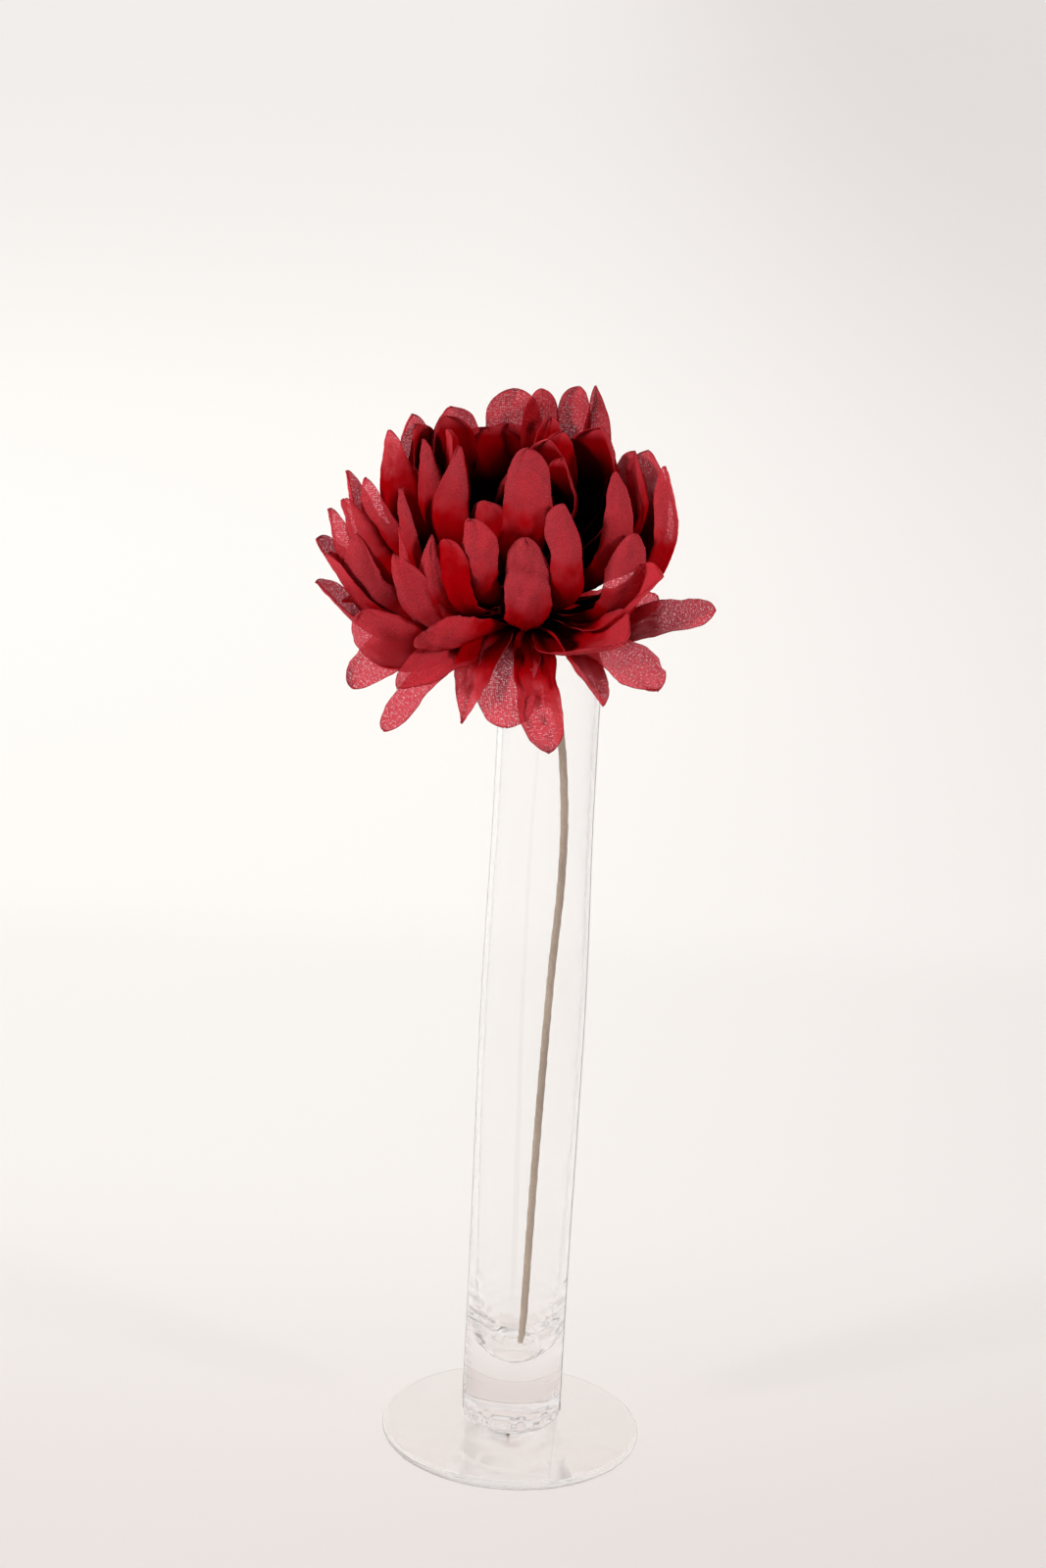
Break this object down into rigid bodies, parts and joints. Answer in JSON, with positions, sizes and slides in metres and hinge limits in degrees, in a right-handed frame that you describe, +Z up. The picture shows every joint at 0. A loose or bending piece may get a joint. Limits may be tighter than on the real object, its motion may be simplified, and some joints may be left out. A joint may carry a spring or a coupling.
{
  "type": "artificial chrysanthemum in bud vase",
  "caption": "Single cloth chrysanthemum bloom on a thin taped stem, standing in a tall clear glass bud vase with a wide disc foot",
  "frame": {"origin": "middle of the flat underside of the vase's disc foot, on the axis of the tube", "axes": "+Z up along the vase; -Y is the near side that faces the viewer; +X to the viewer's right"},
  "size_m": [0.1135, 0.0992, 0.3241],
  "materials": {
    "clear_glass": "clear, hand-blown, smooth",
    "stem_tape": "matt floral tape wound on wire",
    "crimson_cloth": "thin stiffened woven cloth, matt"
  },
  "bodies": {
    "root": {"vase": "clear_glass", "stem": "stem_tape", "bloom": "crimson_cloth"}
  },
  "joints": []
}
